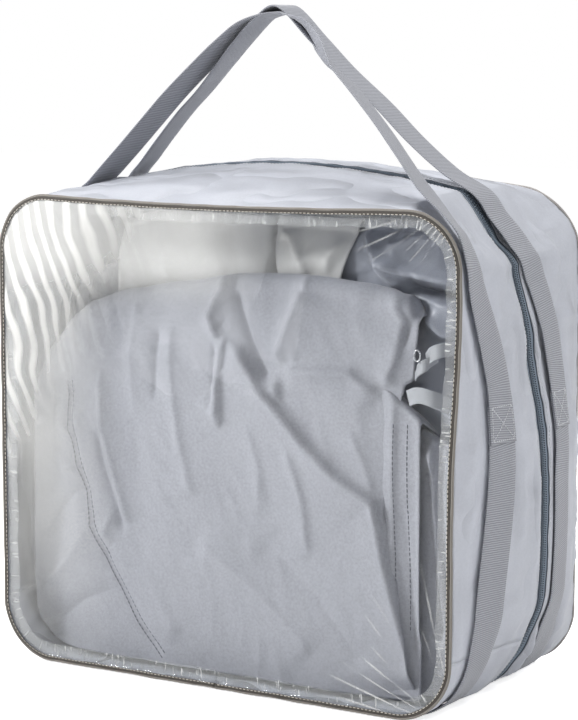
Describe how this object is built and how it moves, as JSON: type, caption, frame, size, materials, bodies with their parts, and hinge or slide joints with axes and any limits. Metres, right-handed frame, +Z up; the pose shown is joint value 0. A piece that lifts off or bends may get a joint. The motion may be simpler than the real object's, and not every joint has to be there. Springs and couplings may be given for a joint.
{
  "type": "storage bag",
  "caption": "Boxy zipped storage bag with a clear front window, bulging cloth gusset, piped edges and tall webbing carry handles.",
  "frame": {"origin": "centre of the bag's footprint, on the surface it stands on", "axes": "+Z up, window faces -Y, +X to the right seen from behind the camera that faces the window"},
  "size_m": [0.5759, 0.264, 0.6537],
  "materials": {
    "cloth": "coated nylon",
    "panel_edge": "seam allowance",
    "piping": "woven piping",
    "webbing": "ribbed webbing",
    "thread": "sewing thread",
    "zip_tape": "woven tape",
    "zip_coil": "nylon coil",
    "zip_metal": "satin",
    "window": "clear flexible sheet",
    "cover": "soft folded cover"
  },
  "bodies": {
    "root": {"back_panel": "cloth", "rear_gusset": "cloth", "bottom_gusset": "cloth", "rear_piping": "piping", "rear_seam_binding": "panel_edge", "rear_zip_tape": "zip_tape", "rear_zip_coil": "zip_coil", "zip_end_stops": "zip_metal", "rear_strap_left": "webbing", "rear_strap_right": "webbing", "rear_strap_base": "webbing", "front_strap_base": "webbing", "rear_box_stitch_left": "thread", "rear_box_stitch_right": "thread"},
    "front_flap": {"front_window": "window", "front_gusset": "cloth", "front_piping": "piping", "window_seam_binding": "panel_edge", "front_zip_tape": "zip_tape", "front_zip_coil": "zip_coil", "front_strap_left": "webbing", "front_strap_right": "webbing", "front_box_stitch_left": "thread", "front_box_stitch_right": "thread"},
    "front_loop": {"front_handle": "webbing"},
    "rear_loop": {"rear_handle": "webbing"},
    "zip_slider": {"zip_slider_body": "zip_metal", "zip_slider_bridge": "zip_metal"},
    "zip_pull": {"zip_pull_tab": "zip_metal"}
  },
  "joints": [
    {"name": "flap_fold", "type": "hinge", "parent": "root", "child": "front_flap", "pos_m": [0, -0.13, 0.002], "axis": [1, 0, 0], "range_deg": [0, 90]},
    {"name": "front_handle_swing", "type": "hinge", "parent": "front_flap", "child": "front_loop", "pos_m": [0, -0.09, 0.292], "axis": [-1, 0, 0], "range_deg": [-145, 0]},
    {"name": "rear_handle_swing", "type": "hinge", "parent": "root", "child": "rear_loop", "pos_m": [0, 0.082, 0.292], "axis": [1, 0, 0], "range_deg": [-145, 0]},
    {"name": "zip_travel", "type": "hinge", "parent": "root", "child": "zip_slider", "pos_m": [0.717, 0, 0.175], "axis": [0, 1, 0], "range_deg": [0, 15.73]},
    {"name": "pull_swing", "type": "hinge", "parent": "zip_slider", "child": "zip_pull", "pos_m": [-0.2879, 0, 0.11317], "axis": [0, 1, 0], "range_deg": [0, 150]}
  ]
}
